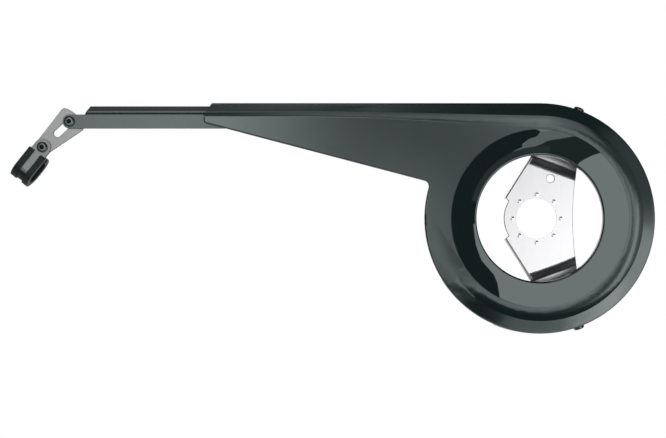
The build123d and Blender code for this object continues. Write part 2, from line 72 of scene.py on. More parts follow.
# Screws, nuts and washers, in metres
HEAD_R = 0.00475        # M5 button head
HEAD_HIGH = 0.00275
LAND_R = 0.0031
SOCKET_R = 0.0023
SOCKET_DEEP = 0.0015
SOCKET_POINT = 0.0022
SHANK_R = 0.0025
NUT_CORNER = 0.00462    # 8 mm across flats
NUT_CHAMFER = 0.0004
WASHER_R = 0.005
RIM_SCREW_LEAN = radians(20.0)      # against the vertical
TOP_RIM = Vector((sin(RIM_SCREW_LEAN), 0, cos(RIM_SCREW_LEAN)))
BOTTOM_RIM = Vector((sin(RIM_SCREW_LEAN), 0, -cos(RIM_SCREW_LEAN)))

# Steel sheets, in metres
PLATE_SHEET = 0.002
LINK_SHEET = 0.0015
BAND_SHEET = 0.001
SHEET_SPARE = 1.1       # a sheared side is no deeper than the sheet's thickness times this
SHEARED_TILT = 0.2      # and the y part of its normal stays below this
BRIGHT_HOLE = 0.0195    # inside this radius the wall of the bottom bracket hole keeps the plate's finish and gets no painted edge shade
LIP_AREA = 0.0001       # the lips have larger sides than the plate's sheared edges
LIP_TILT = 0.05         # greatest y part and greatest x part of a lip's outer normal
LIP_TURN = -0.3

# The gloss ring and its clips, in metres, with stations of radius and depth from the face
RING_STEPS = 288
LIP_STEPS = 9
BREAK_STEPS = 3
LIP_ROUND = 0.0016
RING_BREAK = 0.0002
RING_LIP = (0.056, 0.000226)
RING_SECTION = [(0.0788, 0.0), RING_LIP, (0.056, 0.006), (0.0578, 0.006), (0.0578, 0.0028),
                (0.0586, 0.002), (0.0759, 0.0014), (0.0759, 0.0012), (0.0788, 0.0012)]
CLIP_SECTION = [(0.0739, 0.0012), (0.0759, 0.0012), (0.0759, 0.0025), (0.0773, 0.0025),
                (0.0759, 0.0045), (0.0739, 0.0045)]
CLIP_COUNT = 6
CLIP_ARC = 10           # degrees
RING_LEAN = 0.0099      # the ring's face leans in towards the opening by this much
RING_EDGE = 0.085       # cards are placed with this lean inside this radius

# The shell's rounded root of the wing and the hollow under its ridge, in metres
RIM_R = 0.102
WING_SLOPE = radians(14.7)
ROOT_Z = 0.032          # height where the wing's lower edge meets the disc
ROOT_ROUND = 0.005
ROOT_FRONT = -0.0218    # the face plate's front and its lip's back edge, as depths
ROOT_BACK = -0.0166
ROOT_LAP = 0.002        # the filling runs this far into the shell
ROOT_BLOCK = 6 * ROOT_ROUND
EDGE_ROUND = 0.0014     # on the front edge of the rounded root
RIDGE_LINE = [(-0.2965, 0.0948), (-0.205, 0.0948), (-0.145, 0.09351)]
RIDGE_RISE = 0.0023
HOLLOW_WIDE = 0.0054
HOLLOW_R = 0.00749
HOLLOW_SUNK = 0.1       # the hollow's filling goes this part of the rise into the face
HOLLOW_TOP = 0.98       # and stands this part of the rise up at the ridge
HOLLOW_GAP = RIDGE_RISE / 40        # and starts this far under the ridge's line
TIP_CUT = (-0.2966, 0.0, 0.0916)    # slanted end of the wing's tip
TIP_NORMAL = (-0.837, 0.0, 0.548)

# The studio, in metres
FLOOR_SIZE = 7.0
FLOOR_PLACE = (-0.2, FLOOR_SIZE / 2 - 1.1, -1.5)
FLOOR_GREY = (0.85, 0.85, 0.85, 1)
FLOOR_ROUGH = 0.8
SUN_POWER = 1.8
SUN_SPREAD = radians(30)
SUN_PLACE = (0, 0, 4)
CARD_BACK = 3.0         # the cards stand this far in front of the face
ROOM_GLOW = 0.07
ROOM_WIDE = 16.0
ROOM_FRONT = -4.0
ROOM_REAR = 16.0        # the dim room is open to the white backdrop at this depth

# Values that all plastics or all metals share
BLACK_TINT = (0.88, 1.0, 0.975, 1)
GRAIN_BUMP = 0.6
LINE_BUMP = 0.5
STREAK_SCALE = 0.12     # of wide streaks in sheet metal against its fine lines

# Studio cards, as outlines in the picture's pixels as the flat face reflects them
RIGHT_PANEL = [(497, 900), (497, 283), (494, 274), (488, 267), (482, 260), (477, 245), (475, 224),
               (500, 215), (520, 170), (508, 157), (515, 151), (523, 147), (522, 144), (529, 138),
               (537, 135), (541, 129), (500, 123), (455, 117), (450, 90), (900, 80), (1400, 200),
               (1400, 900)]
TONGUE_PANEL = [(505, 158), (515, 151), (523, 147), (522, 144), (529, 138), (537, 135), (541, 129),
                (560, 127), (575, 128), (590, 137), (575, 150), (545, 150)]
PATCH_FLAG = [(505, 158), (515, 153), (524, 149), (534, 147), (541, 144), (545, 141), (552, 139),
              (562, 137), (574, 134), (582, 136), (603, 150), (591, 155), (584, 159), (578, 163),
              (572, 170), (540, 170), (520, 170)]
FAR_RIGHT_HIGH = [(1400, -900), (2900, -900), (2900, 100), (1400, 100)]
FAR_RIGHT_MIDDLE = [(1400, 100), (2900, 100), (2900, 330), (1400, 330)]
FAR_RIGHT_PANEL = [(1400, 330), (2900, 330), (2900, 1100), (1400, 1100)]
LOW_RIGHT_PANEL = [(1400, 1100), (2200, 1100), (2200, 2600), (720, 2600), (720, 1900), (850, 1350),
                   (1400, 900)]
LEFT_PANEL = [(20, -200), (165, -200), (165, 310), (20, 310)]
LEFT_MIDDLE = [(165, -200), (235, -200), (235, 240), (165, 310)]
LEFT_SOFT = [(235, -200), (300, -200), (300, 170), (235, 240)]
LEFT_FAINT = [(300, -200), (449, -200), (449, 170), (300, 170)]
LOW_LEFT_PANEL = [(250, 180), (443, 180), (443, 300), (330, 320), (250, 320)]
FAR_LEFT_PANEL = [(-1100, -100), (20, -100), (20, 300), (-1100, 300)]
FAR_LEFT_LOW = [(-1100, 300), (20, 310), (195, 310), (195, 700), (-1100, 1100)]
LOW_PANEL = [(250, 500), (497, 440), (497, 1500), (250, 1500)]
DEEP_PANEL = [(497, 900), (1000, 900), (900, 1500), (497, 1500)]
HIGH_PANEL = [(-200, -1900), (400, -1900), (400, -750), (-200, -750)]
DISC_PIXEL = (540.3, 218.4)
INNER_LINE = (64.0, 71.5)   # picture radii of the dim line round the ring's inner lip
INNER_TURN = (84, 166)      # degrees
ARC_STEPS = 12


def linked(name, data):
    """New object in the scene."""
    made = bpy.data.objects.new(name, data)
    bpy.context.scene.collection.objects.link(made)
    return made


def camera():
    """Camera level with the disc's axis and to the rear of it, as in the photograph."""
    data = bpy.data.cameras.new("camera")
    data.sensor_width = SENSOR_WIDE
    data.lens = data.sensor_width * STAND_BACK / (METRE_PER_PIXEL * PHOTO_WIDE)
    data.clip_start = CLIP_NEAR
    data.clip_end = CLIP_FAR
    made = linked("camera", data)
    made.location = EYE
    made.rotation_euler = (pi / 2, 0, 0)
    bpy.context.scene.camera = made


# Node helpers


def material(name, kind="ShaderNodeBsdfPrincipled"):
    """Node material that holds one shader."""
    made = bpy.data.materials.new(name)
    made.use_nodes = True
    made.node_tree.nodes.clear()
    shader = add(made, kind)
    join(made, shader, 0, add(made, "ShaderNodeOutputMaterial"), "Surface")
    return made, shader


def add(owner, kind, **settings):
    """New node in a material's, group's or world's tree."""
    tree = getattr(owner, "node_tree", None) or owner
    node = tree.nodes.new(kind)
    for key, value in settings.items():
        setattr(node, key, value)
    return node


def join(owner, source, output, target, entry):
    """Links one node's output to another node's input."""
    tree = getattr(owner, "node_tree", None) or owner
    tree.links.new(source.outputs[output], target.inputs[entry])


def group(name, entries, exits):
    """Empty shader node group with named number inputs and outputs."""
    tree = bpy.data.node_groups.new(name, "ShaderNodeTree")
    for label, value in entries:
        socket = tree.interface.new_socket(name=label, in_out="INPUT",
                                           socket_type="NodeSocketFloat")
        socket.default_value = value
    for label in exits:
        tree.interface.new_socket(name=label, in_out="OUTPUT", socket_type="NodeSocketFloat")
    return tree, tree.nodes.new("NodeGroupInput"), tree.nodes.new("NodeGroupOutput")


def placed_group(owner, tree, **values):
    """Group node in a material, with values for its inputs."""
    node = add(owner, "ShaderNodeGroup")
    node.node_tree = tree
    for label, value in values.items():
        node.inputs[label.replace("_", " ")].default_value = value
    return node


def spread(owner, low, high):
    """Map Range node from 0..1 to low..high."""
    node = add(owner, "ShaderNodeMapRange")
    node.inputs["To Min"].default_value = low
    node.inputs["To Max"].default_value = high
    return node


def moulding_grain():
    """Fine pebble of a moulded surface, with a slow drift in gloss."""
    tree, entry, leave = group("moulding_grain", [("Grain Scale", 2600.0), ("Drift Scale", 24.0)],
                               ["Height", "Drift"])
    place = add(tree, "ShaderNodeTexCoord")
    fine = add(tree, "ShaderNodeTexNoise")
    fine.inputs["Detail"].default_value = 3.0
    slow = add(tree, "ShaderNodeTexNoise")
    slow.inputs["Detail"].default_value = 2.0
    join(tree, place, "Object", fine, "Vector")
    join(tree, place, "Object", slow, "Vector")
    join(tree, entry, "Grain Scale", fine, "Scale")
    join(tree, entry, "Drift Scale", slow, "Scale")
    join(tree, fine, "Fac", leave, "Height")
    join(tree, slow, "Fac", leave, "Drift")
    return tree


def rolled_lines():
    """Long fine lines of rolled or brushed sheet, along one turned direction."""
    tree, entry, leave = group("rolled_lines", [("Turn", 0.0), ("Line Scale", 900.0)],
                               ["Height", "Streak"])
    place = add(tree, "ShaderNodeTexCoord")
    turn = add(tree, "ShaderNodeVectorRotate", rotation_type="Y_AXIS")
    stretch = add(tree, "ShaderNodeMapping")
    stretch.inputs["Scale"].default_value = (0.03, 1.0, 1.0)
    fine = add(tree, "ShaderNodeTexNoise")
    fine.inputs["Detail"].default_value = 4.0
    wide = add(tree, "ShaderNodeTexNoise")
    wide.inputs["Detail"].default_value = 2.0
    share = add(tree, "ShaderNodeMath", operation="MULTIPLY")
    share.inputs[1].default_value = STREAK_SCALE
    join(tree, place, "Object", turn, "Vector")
    join(tree, entry, "Turn", turn, "Angle")
    join(tree, turn, "Vector", stretch, "Vector")
    join(tree, stretch, "Vector", fine, "Vector")
    join(tree, stretch, "Vector", wide, "Vector")
    join(tree, entry, "Line Scale", fine, "Scale")
    join(tree, entry, "Line Scale", share, 0)
    join(tree, share, "Value", wide, "Scale")
    join(tree, fine, "Fac", leave, "Height")
    join(tree, wide, "Fac", leave, "Streak")
    return tree


GRAIN = moulding_grain()
LINES = rolled_lines()


def textured(made, shader, pattern, mask, tones, rough, depth, strength):
    """Runs colour and roughness between two values with a mask, and a bump with the height."""
    colour = add(made, "ShaderNodeMix", data_type="RGBA")
    colour.inputs["A"].default_value = (*tones[0], 1.0)
    colour.inputs["B"].default_value = (*tones[1], 1.0)
    gloss = spread(made, *rough)
    relief = add(made, "ShaderNodeBump")
    relief.inputs["Distance"].default_value = depth
    relief.inputs["Strength"].default_value = strength
    join(made, pattern, mask, colour, "Factor")
    join(made, pattern, mask, gloss, "Value")
    join(made, pattern, "Height", relief, "Height")
    join(made, colour, "Result", shader, "Base Color")
    join(made, gloss, "Result", shader, "Roughness")
    join(made, relief, "Normal", shader, "Normal")


def moulded_plastic(name, dark, light, rough, grain_depth, specular):
    """Black plastic, rubber or oxide with a fine grain."""
    made, shader = material(name)
    grain = placed_group(made, GRAIN)
    textured(made, shader, grain, "Drift", (dark, light), rough, grain_depth, GRAIN_BUMP)
    shader.inputs["Specular IOR Level"].default_value = specular
    shader.inputs["Specular Tint"].default_value = BLACK_TINT
    return made


def sheet_metal(name, dark, light, rough, turn, line_depth):
    """Bare steel with rolling lines."""
    made, shader = material(name)
    lines = placed_group(made, LINES, Turn=turn)
    textured(made, shader, lines, "Streak", (dark, light), rough, line_depth, LINE_BUMP)
    shader.inputs["Metallic"].default_value = 1.0
    return made


def dress(name, made):
    """Gives a CAD node its finished material."""
    slots = nodes[name].data.materials
    for number in range(len(slots)):
        slots[number] = made


def mirror_spot(across, down):
    """Point behind the camera that the part's face reflects at a picture position."""
    spot = Vector((CAMERA_X + (across - PHOTO_WIDE / 2) * METRE_PER_PIXEL, FACE_Y,
                   CAMERA_Z + (PHOTO_HIGH / 2 - down) * METRE_PER_PIXEL))
    radius = Vector((spot.x, 0, spot.z)).length
    lean = RING_LEAN if radius < RING_EDGE else 0.0
    normal = Vector((-lean * spot.x / radius, -1, -lean * spot.z / radius)).normalized()
    ray = (spot - EYE).normalized().reflect(normal)
    return spot + ray * (CARD_BACK / -ray.y)


def glowing(name, radiance):
    """Material of a card or of the room, which only sends out light."""
    made, glow = material(name, "ShaderNodeEmission")
    glow.inputs["Strength"].default_value = radiance
    return made


def card(name, outline, radiance, forward):
    """Flat studio card behind the camera: a light panel, or a dim flag in front of one."""
    points = [mirror_spot(*spot) + Vector((0, forward, 0)) for spot in outline]
    mesh = bpy.data.meshes.new(name)
    mesh.from_pydata(points, [], [tuple(range(len(points)))])
    made = linked(name, mesh)
    mesh.materials.append(glowing(name, radiance))
    made.visible_camera = False


def arc_outline(inner, outer, start, end):
    """Outline of a band round the disc between two picture radii and two angles."""
    across, down = DISC_PIXEL
    steps = [radians(start + (end - start) * number / ARC_STEPS)
             for number in range(ARC_STEPS + 1)]
    return ([(across + inner * cos(turn), down - inner * sin(turn)) for turn in steps]
            + [(across + outer * cos(turn), down - outer * sin(turn)) for turn in reversed(steps)])


def white_world():
    """White backdrop for the camera and for reflections, dim for all other light."""
    world = bpy.data.worlds.new("studio")
    bpy.context.scene.world = world
    world.use_nodes = True
    world.node_tree.nodes.clear()
    path = add(world, "ShaderNodeLightPath")
    seen = add(world, "ShaderNodeMath", operation="MAXIMUM")
    mirrored = add(world, "ShaderNodeMath", operation="MAXIMUM")
    pick = add(world, "ShaderNodeMix", data_type="FLOAT")
    pick.inputs["A"].default_value = ROOM_GLOW
    pick.inputs["B"].default_value = 1.0
    back = add(world, "ShaderNodeBackground")
    back.inputs["Color"].default_value = (1, 1, 1, 1)
    output = add(world, "ShaderNodeOutputWorld")
    join(world, path, "Is Glossy Ray", mirrored, 0)
    join(world, path, "Is Transmission Ray", mirrored, 1)
    join(world, path, "Is Camera Ray", seen, 0)
    join(world, mirrored, "Value", seen, 1)
    join(world, seen, "Value", pick, "Factor")
    join(world, pick, "Result", back, "Strength")
    join(world, back, "Background", output, "Surface")


def dim_room():
    """The dim studio round the part, as reflections see it: a long box, open to the backdrop."""
    room = cuboid((ROOM_WIDE, ROOM_REAR - ROOM_FRONT, ROOM_WIDE),
                  (0, (ROOM_FRONT + ROOM_REAR) / 2, 0))
    room.name = "dim_room"
    edit(room)
    pick_faces(room, lambda centre, normal: normal.y > FACING)
    bpy.ops.mesh.delete(type="FACE")
    leave_edit()
    room.data.materials.append(glowing("dim_room", ROOM_GLOW))
    room.visible_camera = False
    room.visible_diffuse = False
    room.visible_shadow = False


def pale_floor():
    """Pale floor far under the part, that ends below the picture's lower edge."""
    bpy.ops.object.select_all(action="DESELECT")
    bpy.ops.mesh.primitive_plane_add(size=FLOOR_SIZE, location=FLOOR_PLACE)
    floor = bpy.context.object
    floor.name = "floor"
    made, shader = material("pale_floor")
    shader.inputs["Base Color"].default_value = FLOOR_GREY
    shader.inputs["Roughness"].default_value = FLOOR_ROUGH
    floor.data.materials.append(made)


# Mesh helpers


def choose(piece):
    """Makes one piece the active and only selected one."""
    bpy.ops.object.select_all(action="DESELECT")
    bpy.context.view_layer.objects.active = piece
    piece.select_set(True)


def edit(piece):
    """Opens one piece in edit mode with nothing selected in it."""
    choose(piece)
    bpy.ops.object.mode_set(mode="EDIT")
    bpy.ops.mesh.select_mode(type="FACE")
    bpy.ops.mesh.select_all(action="DESELECT")


def leave_edit():
    """Back to object mode."""
    bpy.ops.object.mode_set(mode="OBJECT")


def pick_faces(piece, wanted):
    """Selects the faces that a test of centre and normal accepts."""
    leave_edit()
    for face in piece.data.polygons:
        face.select = wanted(face.center, face.normal)
    bpy.ops.object.mode_set(mode="EDIT")


def apply_modifier(piece, kind, **settings):
    """Gives a piece a modifier and applies it at once."""
    choose(piece)
    made = piece.modifiers.new(kind, kind)
    for key, value in settings.items():
        setattr(made, key, value)
    bpy.ops.object.modifier_apply(modifier=made.name)


def shade(piece, angle):
    """Smooth shading over all edges below an angle in degrees."""
    choose(piece)
    bpy.ops.object.shade_smooth_by_angle(angle=radians(angle))


def painted(piece, *paints):
    """Gives a modelled piece its finishes, the first one on every face."""
    piece.data.materials.clear()
    for paint in paints:
        piece.data.materials.append(paint)
    return piece


def finished(piece, node, body):
    """Puts a modelled piece on its body, and hides the CAD node that it takes the place of."""
    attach(piece, body)
    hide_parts(node)


def sheared(piece, sheet):
    """Gives the sheared sides of a steel sheet the piece's second finish, a near-black painted
    shade for the dark lines along the sheet's edges.
    """
    for face in piece.data.polygons:
        depths = [piece.data.vertices[number].co.y for number in face.vertices]
        across = (abs(face.normal.y) < SHEARED_TILT
                  and max(depths) - min(depths) < SHEET_SPARE * sheet
                  and Vector((face.center.x, face.center.z)).length > BRIGHT_HOLE)
        face.material_index = 1 if across else 0


def merged_copy(node, name):
    """Copy of a CAD node with its loose triangles merged into whole faces."""
    source = nodes[node]
    mesh = source.data.copy()
    mesh.transform(source.matrix_world)
    made = linked(name, mesh)
    edit(made)
    bpy.ops.mesh.customdata_custom_splitnormals_clear()
    bpy.ops.mesh.select_all(action="SELECT")
    bpy.ops.mesh.remove_doubles(threshold=MERGE)
    bpy.ops.mesh.dissolve_limited(angle_limit=radians(FLAT_ANGLE))
    bpy.ops.mesh.normals_make_consistent(inside=False)
    leave_edit()
    return made


def pick_edges(piece, wanted):
    """Selects the edges that a test of their two faces accepts."""
    leave_edit()
    sides = {}
    for face in piece.data.polygons:
        for key in face.edge_keys:
            sides.setdefault(key, []).append(face)
    for edge in piece.data.edges:
        faces = sides.get(edge.key, [])
        edge.select = len(faces) == 2 and wanted(*faces)
    bpy.ops.object.mode_set(mode="EDIT")


def rounded_folds(piece, radius):
    """Rounds the front corner of each lip, as bending a sheet leaves it."""
    corners = []
    for face in piece.data.polygons:
        if (abs(face.normal.y) < LIP_TILT and face.normal.x < LIP_TURN
                and face.area > LIP_AREA):
            points = [piece.data.vertices[number].co.copy() for number in face.vertices]
            front = min(point.y for point in points)
            along = (-face.normal).cross(INBOARD)
            rim = sorted((point for point in points if point.y < front + radius / 10),
                         key=lambda point: point.dot(along))
            corners.append((rim[0], rim[-1], face.normal.copy(), along))
    for start, end, outward, along in corners:
        reach = (end - start).length / 2 + radius
        corner = prism(4, radius * sqrt(2), -reach, reach, pi / 4)
        round_bar = prism(ROUND, radius, -2 * reach, 2 * reach)
        round_bar.data.transform(Matrix.Translation((radius, radius, 0)))
        cut_with(corner, round_bar)
        turn = Matrix((-outward, INBOARD, along)).transposed().to_4x4()
        corner.data.transform(Matrix.Translation((start + end) / 2) @ turn)
        cut_with(piece, corner)


def stamped(node, name, paints, sheet, burr, fold=None):
    """Copy of a flat or folded sheet part: sheared sides and their small bevels in painted dark
    edge shade, and rounded folds.
    """
    made = painted(merged_copy(node, name), *paints)
    if fold is not None:
        rounded_folds(made, fold)
    sheared(made, sheet)
    edit(made)
    bpy.ops.mesh.select_mode(type="EDGE")
    pick_edges(made, lambda one, other: one.material_index != other.material_index
               and max(abs(one.normal.y), abs(other.normal.y)) > SQUARE)
    # the bevel's new faces take the second finish, the painted dark edge shade
    bpy.ops.mesh.bevel(offset=burr, offset_type="OFFSET", segments=2, affect="EDGES",
                       clamp_overlap=False, loop_slide=False, material=1)
    leave_edit()
    shade(made, SOFT_ANGLE)
    apply_modifier(made, "WEIGHTED_NORMAL", keep_sharp=True)
    return made


def softened(node, name, paint, radius, segments, shaping=None):
    """Copy of a CAD node, reshaped where a function for that is given, its sharp edges eased."""
    made = painted(merged_copy(node, name), paint)
    if shaping:
        shaping(made)
    apply_modifier(made, "BEVEL", width=radius, segments=segments, limit_method="ANGLE",
                   angle_limit=radians(SOFT_ANGLE))
    shade(made, SOFT_ANGLE)
    apply_modifier(made, "WEIGHTED_NORMAL", keep_sharp=True)
    return made


def trimmed(block, *planes):
    """Cuts away a block's part outside each plane, given as a point and an outward direction."""
    edit(block)
    for place, outward in planes:
        bpy.ops.mesh.select_all(action="SELECT")
        bpy.ops.mesh.bisect(plane_co=place, plane_no=outward, use_fill=True, clear_outer=True)
    leave_edit()


def eased_hollow(shell):
    """Eases the narrow hollow under the wing's ridge into a wide, soft one."""
    low = ROOT_FRONT + HOLLOW_SUNK * RIDGE_RISE
    high = ROOT_FRONT - HOLLOW_TOP * RIDGE_RISE
    for (start_x, start_z), (end_x, end_z) in zip(RIDGE_LINE, RIDGE_LINE[1:]):
        start, end = Vector((start_x, 0, start_z)), Vector((end_x, 0, end_z))
        length = (end - start).length
        along = (end - start).normalized()
        block = cuboid((length, low - high, HOLLOW_WIDE),
                       (length / 2, (low + high) / 2, -HOLLOW_WIDE / 2))
        block.data.transform(Matrix.Translation((0, 0, -HOLLOW_GAP)))
        bar = prism(HOLLOW_STEPS, HOLLOW_R, -length, 2 * length)
        bar.data.transform(Matrix.Translation((0, ROOT_FRONT - HOLLOW_R, -HOLLOW_WIDE))
                           @ Matrix.Rotation(pi / 2, 4, "Y"))
        cut_with(block, bar)
        turn = Matrix((along, INBOARD, along.cross(INBOARD))).transposed()
        block.data.transform(Matrix.Translation(start) @ turn.to_4x4())
        trimmed(block, (TIP_CUT, TIP_NORMAL))
        cut_with(shell, block, "UNION")


def filled_root(shell):
    """Rounds the inner corner where the wing's lower edge meets the disc."""
    along = Vector((-cos(WING_SLOPE), 0, sin(WING_SLOPE)))
    below = Vector((-sin(WING_SLOPE), 0, -cos(WING_SLOPE)))
    corner = Vector((-sqrt(RIM_R ** 2 - ROOT_Z ** 2), 0, ROOT_Z))
    level = corner + ROOT_ROUND * below
    half = level.dot(along)
    middle = level + along * (sqrt(half ** 2 + (RIM_R + ROOT_ROUND) ** 2 - level.length_squared)
                              - half)
    on_wing = middle - ROOT_ROUND * below
    on_rim = middle * (RIM_R / (RIM_R + ROOT_ROUND))
    away = (middle - on_rim).normalized()
    depth = ROOT_BACK - ROOT_FRONT
    block = cuboid((ROOT_BLOCK, depth, ROOT_BLOCK), (middle.x, ROOT_FRONT + depth / 2, middle.z))
    trimmed(block, (on_wing, along), (on_rim, away.cross(INBOARD)),
            (on_wing - ROOT_LAP * below, -below), (on_rim - ROOT_LAP * away, -away))
    bar = prism(ROOT_STEPS, ROOT_ROUND, -1, 1)
    bar.data.transform(Matrix.Translation(middle) @ Matrix.Rotation(pi / 2, 4, "X"))
    cut_with(block, bar)

    def rounding(face):
        """Is this a face of the round wall?"""
        spoke = Vector((middle.x - face.center.x, 0, middle.z - face.center.z))
        return face.normal.dot(spoke.normalized()) > SQUARE

    edit(block)
    bpy.ops.mesh.select_mode(type="EDGE")
    pick_edges(block, lambda one, other: (one.normal.y < -SQUARE and rounding(other))
               or (other.normal.y < -SQUARE and rounding(one)))
    bpy.ops.mesh.bevel(offset=EDGE_ROUND, offset_type="OFFSET", segments=SOFT_STEPS,
                       affect="EDGES", clamp_overlap=False)
    leave_edit()
    cut_with(shell, block, "UNION")


def eased_shell(shell):
    """Both roundings of the shell, and the faces that they leave merged again."""
    filled_root(shell)
    eased_hollow(shell)
    edit(shell)
    bpy.ops.mesh.select_all(action="SELECT")
    bpy.ops.mesh.remove_doubles(threshold=5 * MERGE)
    bpy.ops.mesh.dissolve_limited(angle_limit=radians(FLAT_ANGLE))
    bpy.ops.mesh.select_all(action="SELECT")
    bpy.ops.mesh.delete_loose()
    leave_edit()


def cut_with(piece, cutter, operation="DIFFERENCE"):
    """Boolean of one piece with a cutter, which is then removed."""
    apply_modifier(piece, "BOOLEAN", object=cutter, operation=operation, solver="EXACT")
    bpy.data.objects.remove(cutter)


def cuboid(size, place):
    """Box of a size, with its middle at a place."""
    bpy.ops.object.select_all(action="DESELECT")
    bpy.ops.mesh.primitive_cube_add(size=1, scale=size, location=place)
    bpy.ops.object.transform_apply(location=True, rotation=True, scale=True)
    return bpy.context.object


def prism(sides, radius, low, high, turn=0.0):
    """Upright prism between two heights, with its corners on a radius."""
    bpy.ops.object.select_all(action="DESELECT")
    bpy.ops.mesh.primitive_cylinder_add(vertices=sides, radius=radius, depth=high - low,
                                        location=(0, 0, (low + high) / 2), rotation=(0, 0, turn))
    bpy.ops.object.transform_apply(location=True, rotation=True, scale=True)
    return bpy.context.object


def button_screw(shank):
    """Domed screw, its head's seat at the origin, its head up and a plain shank below."""
    screw = prism(ROUND, HEAD_R, 0, HEAD_HIGH)
    edit(screw)
    pick_faces(screw, lambda centre, normal: normal.z > FACING)
    bpy.ops.mesh.bevel(offset=HEAD_R - LAND_R, offset_type="OFFSET", segments=SOFT_STEPS,
                       affect="EDGES")
    leave_edit()
    socket = prism(6, SOCKET_R, HEAD_HIGH - SOCKET_DEEP, 2 * HEAD_HIGH)
    cut_with(screw, socket)
    edit(screw)
    pick_faces(screw, lambda centre, normal: normal.z > FACING
               and centre.z < HEAD_HIGH - SOCKET_DEEP / 2)
    bpy.ops.mesh.poke(offset=-SOCKET_POINT)
    bpy.ops.mesh.select_all(action="DESELECT")
    pick_faces(screw, lambda centre, normal: normal.z < -FACING and centre.z < HEAD_HIGH / 10)
    bpy.ops.mesh.inset(thickness=HEAD_R - SHANK_R)
    bpy.ops.mesh.extrude_region_move(TRANSFORM_OT_translate={"value": (0, 0, -shank)})
    bpy.ops.mesh.bevel(offset=SHANK_R / 5, segments=1, affect="EDGES")
    leave_edit()
    shade(screw, SCREW_ANGLE)
    return screw


def put(piece, name, origin, direction):
    """Names a modelled piece, and moves its origin to a place and its up to a direction."""
    piece.name = name
    turn = direction.to_track_quat("Z", "Y").to_matrix().to_4x4()
    piece.data.transform(Matrix.Translation(origin) @ turn)
    return piece


def span(node, direction):
    """Lowest point on a CAD fastener's axis and its length, along a direction."""
    points = [nodes[node].matrix_world @ corner.co for corner in nodes[node].data.vertices]
    heights = [point.dot(direction) for point in points]
    middle = (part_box(node)[0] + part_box(node)[1]) / 2
    origin = middle + direction * (min(heights) - middle.dot(direction))
    return origin, max(heights) - min(heights)


def bored(piece, radius):
    """Cuts the bore for the screw through an upright piece."""
    cut_with(piece, prism(ROUND, radius, -NUT_CORNER, 2 * NUT_CORNER))


def hex_nut(height):
    """Hexagon nut with turned chamfers and its bore, upright on the origin."""
    nut = prism(6, NUT_CORNER, 0, height)
    disc = prism(ROUND, NUT_CORNER, 0, height)
    edit(disc)
    pick_faces(disc, lambda centre, normal: abs(normal.z) > FACING)
    bpy.ops.mesh.bevel(offset=NUT_CHAMFER, offset_type="OFFSET", segments=1, affect="EDGES")
    leave_edit()
    cut_with(nut, disc, "INTERSECT")
    bored(nut, SHANK_R)
    shade(nut, NUT_ANGLE)
    return nut


def flat_washer(height):
    """Round washer with its bore and softened rims, upright on the origin."""
    washer = prism(ROUND, WASHER_R, 0, height)
    bored(washer, SHANK_R)
    apply_modifier(washer, "BEVEL", width=height / 8, segments=2, limit_method="ANGLE")
    shade(washer, SOFT_ANGLE)
    return washer


def pick_rings(piece, radius, depth):
    """Selects the edges that run round the disc's axis at a radius and depth."""
    leave_edit()
    corners = piece.data.vertices
    place = Vector((radius, FACE_Y + depth))
    for edge in piece.data.edges:
        ends = [corners[number].co for number in edge.vertices]
        edge.select = all((Vector((Vector((end.x, end.z)).length, end.y)) - place).length < MERGE
                          for end in ends)
    bpy.ops.object.mode_set(mode="EDIT")


def turned(stations, arc=360):
    """Closed section turned about the disc's axis, through stations of radius and depth."""
    radius, depth = stations[0]
    bpy.ops.object.select_all(action="DESELECT")
    bpy.ops.mesh.primitive_circle_add(vertices=RING_STEPS, radius=radius,
                                      location=(0, FACE_Y + depth, 0), rotation=(pi / 2, 0, 0))
    bpy.ops.object.transform_apply(location=True, rotation=True, scale=True)
    ring = bpy.context.object
    edit(ring)
    bpy.ops.mesh.select_mode(type="VERT")
    if arc < 360:
        leave_edit()
        for corner in ring.data.vertices:
            corner.select = abs(atan2(corner.co.z, corner.co.x)) > radians(arc / 2) + MERGE
        bpy.ops.object.mode_set(mode="EDIT")
        bpy.ops.mesh.delete(type="VERT")
    bpy.ops.mesh.select_mode(type="EDGE")
    bpy.ops.mesh.select_all(action="SELECT")
    for new_radius, new_depth in stations[1:] + stations[:1]:
        bpy.ops.mesh.extrude_edges_move(
            TRANSFORM_OT_translate={"value": (0, new_depth - depth, 0)})
        bpy.ops.transform.resize(value=(new_radius / radius, 1, new_radius / radius),
                                 center_override=(0, 0, 0))
        radius, depth = new_radius, new_depth
    bpy.ops.mesh.select_all(action="SELECT")
    bpy.ops.mesh.remove_doubles(threshold=MERGE)
    bpy.ops.mesh.fill_holes(sides=0)
    bpy.ops.mesh.select_all(action="SELECT")
    bpy.ops.mesh.normals_make_consistent(inside=False)
    leave_edit()
    return ring


def gloss_ring():
    """Gloss ring turned in fine steps, so that its reflections run clean, with its clips."""
    ring = turned(RING_SECTION)
    ring.name = "turned_ring"
    edit(ring)
    bpy.ops.mesh.select_mode(type="EDGE")
    pick_rings(ring, *RING_LIP)
    bpy.ops.mesh.bevel(offset=LIP_ROUND, offset_type="OFFSET", segments=LIP_STEPS,
                       affect="EDGES")
    bpy.ops.mesh.select_all(action="DESELECT")
    pick_rings(ring, *RING_SECTION[0])
    bpy.ops.mesh.bevel(offset=RING_BREAK, offset_type="OFFSET", segments=BREAK_STEPS,
                       affect="EDGES")
    leave_edit()
    clip = turned(CLIP_SECTION, CLIP_ARC)
    clips = []
    for number in range(CLIP_COUNT):
        each = clip.copy()
        each.data = clip.data.copy()
        each.data.transform(Matrix.Rotation(2 * pi * (number + 0.5) / CLIP_COUNT, 4, "Y"))
        bpy.context.scene.collection.objects.link(each)
        clips.append(each)
    bpy.data.objects.remove(clip)
    choose(ring)
    for each in clips:
        each.select_set(True)
    bpy.ops.object.join()
    shade(ring, RING_ANGLE)
    apply_modifier(ring, "WEIGHTED_NORMAL", keep_sharp=True)
    return ring


